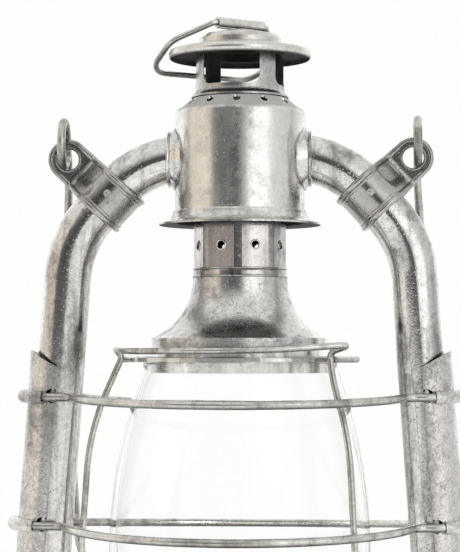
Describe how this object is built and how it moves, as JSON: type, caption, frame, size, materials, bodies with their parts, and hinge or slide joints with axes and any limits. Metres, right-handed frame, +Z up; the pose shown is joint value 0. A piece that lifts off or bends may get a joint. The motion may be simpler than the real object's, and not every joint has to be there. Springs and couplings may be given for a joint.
{
  "type": "hurricane lantern",
  "caption": "Tubular storm lantern with side air tubes, wire guard rings, clear glass globe, perforated chimney under a hood, wire bail and round oil tank.",
  "frame": {"origin": "centre of the tank's foot, on the surface it stands on", "axes": "+Z up along the lantern's axis, X through the two side tubes, -Y to the front"},
  "size_m": [0.1536, 0.1364, 0.2642],
  "materials": {
    "tinplate": "aged tinned sheet, mottled, lightly pitted",
    "steel_wire": "tinned steel wire, dulled",
    "clear_glass": "clear blown glass with a small bubble",
    "brass": "dull brass",
    "cotton": "woven cotton wick",
    "cork": "pressed cork"
  },
  "bodies": {
    "frame": {"tank_body": "tinplate", "tank_base": "tinplate", "air_duct": "tinplate", "filler_neck": "tinplate", "burner_collar": "brass", "burner_body": "brass", "wick_tube": "brass", "burner_cone": "brass", "air_chamber": "tinplate", "air_chamber_skirt": "tinplate", "chimney_spring": "tinplate", "upper_guard_ring": "steel_wire", "middle_guard_ring": "steel_wire", "lower_guard_ring": "steel_wire", "lever_bracket": "tinplate", "left_tube": "tinplate", "left_tube_collar": "tinplate", "left_tube_socket": "tinplate", "left_ear_strap": "tinplate", "left_wire_sleeve": "tinplate", "right_tube": "tinplate", "right_tube_collar": "tinplate", "right_tube_socket": "tinplate", "right_ear_strap": "tinplate", "right_wire_sleeve": "tinplate"},
    "globe_carriage": {"globe_plate": "tinplate", "globe": "clear_glass", "globe_frame_front": "steel_wire", "globe_frame_rear": "steel_wire"},
    "chimney": {"chimney_bell": "tinplate", "seat_disc": "tinplate", "inner_chimney": "tinplate", "neck": "tinplate", "hood": "tinplate", "lift_ring_sleeve": "tinplate"},
    "lift_ring_body": {"lift_ring": "steel_wire"},
    "bail_body": {"bail": "steel_wire"},
    "lever_body": {"lift_lever": "steel_wire"},
    "winder_body": {"winder_shaft": "steel_wire", "winder_knob": "brass"},
    "wick_body": {"wick": "cotton"},
    "cap_seal_body": {"filler_seal": "cork"},
    "cap_body": {"filler_cap": "tinplate"}
  },
  "joints": [
    {"name": "globe_lift", "type": "slide", "parent": "frame", "child": "globe_carriage", "axis": [0, 0, 1], "range_m": [0, 0.01]},
    {"name": "chimney_lift", "type": "slide", "parent": "globe_carriage", "child": "chimney", "axis": [0, 0, 1], "range_m": [0, 0.016]},
    {"name": "lift_ring_hinge", "type": "hinge", "parent": "chimney", "child": "lift_ring_body", "pos_m": [0, 0, 0.2624], "axis": [0.788, 0.6157, 0], "range_deg": [0, 112]},
    {"name": "bail_swing", "type": "hinge", "parent": "frame", "child": "bail_body", "pos_m": [0, 0, 0.2231], "axis": [1, 0, 0], "range_deg": [0, 250]},
    {"name": "lever_pivot", "type": "hinge", "parent": "frame", "child": "lever_body", "pos_m": [0.0485, -0.01864, 0.0475], "axis": [1, 0, 0], "range_deg": [0, 30.1]},
    {"name": "winder_turn", "type": "hinge", "parent": "frame", "child": "winder_body", "pos_m": [-0.00269, -0.00345, 0.0459], "axis": [0.788, -0.6157, 0], "range_deg": [-107, 35.5]},
    {"name": "wick_travel", "type": "slide", "parent": "frame", "child": "wick_body", "axis": [0, 0, 1], "range_m": [-0.006, 0.002]},
    {"name": "cap_travel", "type": "slide", "parent": "frame", "child": "cap_seal_body", "axis": [0, 0, 1], "range_m": [0, 0.00501]},
    {"name": "cap_turn", "type": "hinge", "parent": "cap_seal_body", "child": "cap_body", "pos_m": [-0.02983, -0.0426, 0.0435], "axis": [0, 0, 1], "range_deg": [0, 720]}
  ],
  "couplings": [
    {"joint": "lever_pivot", "follows": "globe_lift", "rad_per_m": 52.36},
    {"joint": "wick_travel", "follows": "winder_turn", "m_per_rad": 0.0032},
    {"joint": "cap_travel", "follows": "cap_turn", "m_per_rad": 0.00039789}
  ]
}
